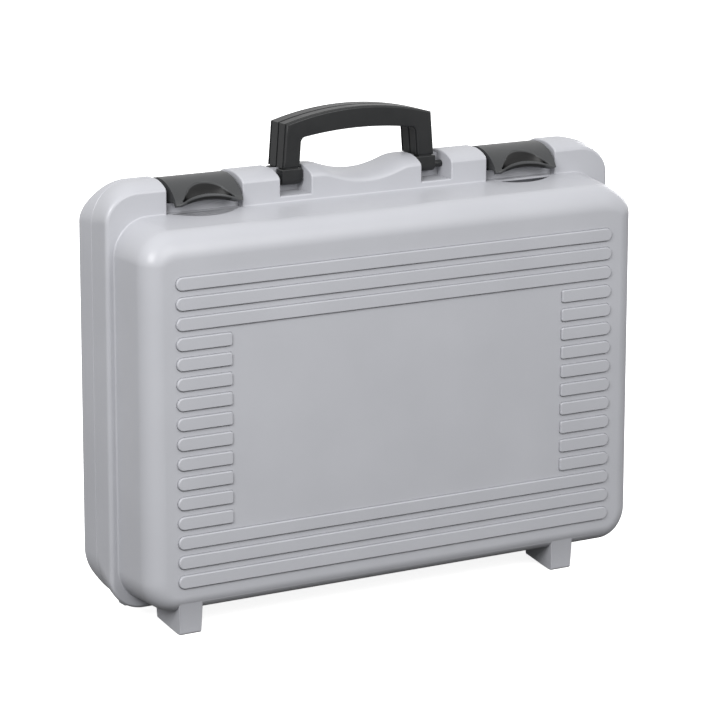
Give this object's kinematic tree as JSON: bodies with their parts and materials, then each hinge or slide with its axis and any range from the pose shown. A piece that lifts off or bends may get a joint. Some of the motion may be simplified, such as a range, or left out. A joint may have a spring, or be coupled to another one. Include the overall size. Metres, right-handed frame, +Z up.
{
  "type": "hard tool case",
  "caption": "Upright moulded hard case with two ribbed trays hinged along the bottom, a wide rim, snap latches on top and a split folding carrying handle.",
  "frame": {"origin": "on the floor under the middle of the bounding box", "axes": "+X along the width, towards the viewer's right; -Y towards the front panel; +Z up, towards the handle"},
  "size_m": [0.492, 0.1286, 0.4119],
  "materials": {
    "shell": "fine moulded grain",
    "handle": "fine moulded grain",
    "latch": "satin moulded",
    "pin": "drawn wire"
  },
  "bodies": {
    "rear": {"rear_shell": "shell", "hinge_pin_left": "pin", "hinge_pin_right": "pin", "rear_handle_pin_left": "pin", "rear_handle_pin_right": "pin", "latch_pin_left": "pin", "latch_pin_right": "pin"},
    "front": {"front_shell": "shell", "front_handle_pin_left": "pin", "front_handle_pin_right": "pin"},
    "grip_front": {"front_handle": "handle"},
    "grip_rear": {"rear_handle": "handle"},
    "latch_left": {"latch_left": "latch"},
    "latch_right": {"latch_right": "latch"}
  },
  "joints": [
    {"name": "case_hinge", "type": "hinge", "parent": "rear", "child": "front", "pos_m": [0, 0.018, 0.0093], "axis": [1, 0, 0], "range_deg": [0, 120]},
    {"name": "front_grip_fold", "type": "hinge", "parent": "front", "child": "grip_front", "pos_m": [0, 0.0093, 0.3561], "axis": [1, 0, 0], "range_deg": [0, 90]},
    {"name": "rear_grip_fold", "type": "hinge", "parent": "rear", "child": "grip_rear", "pos_m": [0, 0.0267, 0.3561], "axis": [-1, 0, 0], "range_deg": [0, 90]},
    {"name": "latch_left_lift", "type": "hinge", "parent": "rear", "child": "latch_left", "pos_m": [-0.155, 0.0355, 0.3505], "axis": [-1, 0, 0], "range_deg": [0, 100]},
    {"name": "latch_right_lift", "type": "hinge", "parent": "rear", "child": "latch_right", "pos_m": [0.155, 0.0355, 0.3505], "axis": [-1, 0, 0], "range_deg": [0, 100]}
  ]
}
